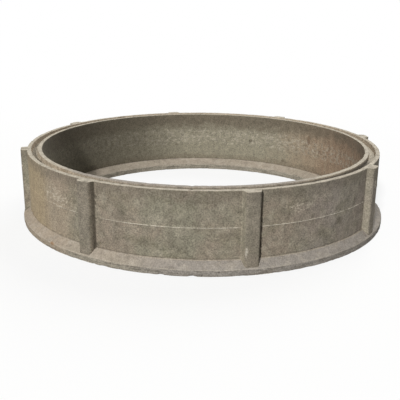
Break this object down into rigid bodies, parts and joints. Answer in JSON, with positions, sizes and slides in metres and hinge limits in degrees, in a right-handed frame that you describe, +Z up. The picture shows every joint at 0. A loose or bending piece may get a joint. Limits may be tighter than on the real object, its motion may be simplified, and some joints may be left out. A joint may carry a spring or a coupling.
{
  "type": "concrete culvert ring",
  "caption": "Short precast concrete ring with a wide sloped foot, upright outer ribs and a joint groove between two lips on top, stacked to line a culvert or shaft.",
  "frame": {"origin": "on the ring's axis, at the level of the foot's flat underside", "axes": "+Z up along the ring's axis, from the foot to the grooved top; +X points through the middle of one rib"},
  "size_m": [1.135, 1.135, 0.214],
  "materials": {
    "concrete": "weathered grey-brown precast concrete, matt, with pale dry edges"
  },
  "bodies": {
    "root": {"culvert_ring": "concrete"}
  },
  "joints": []
}
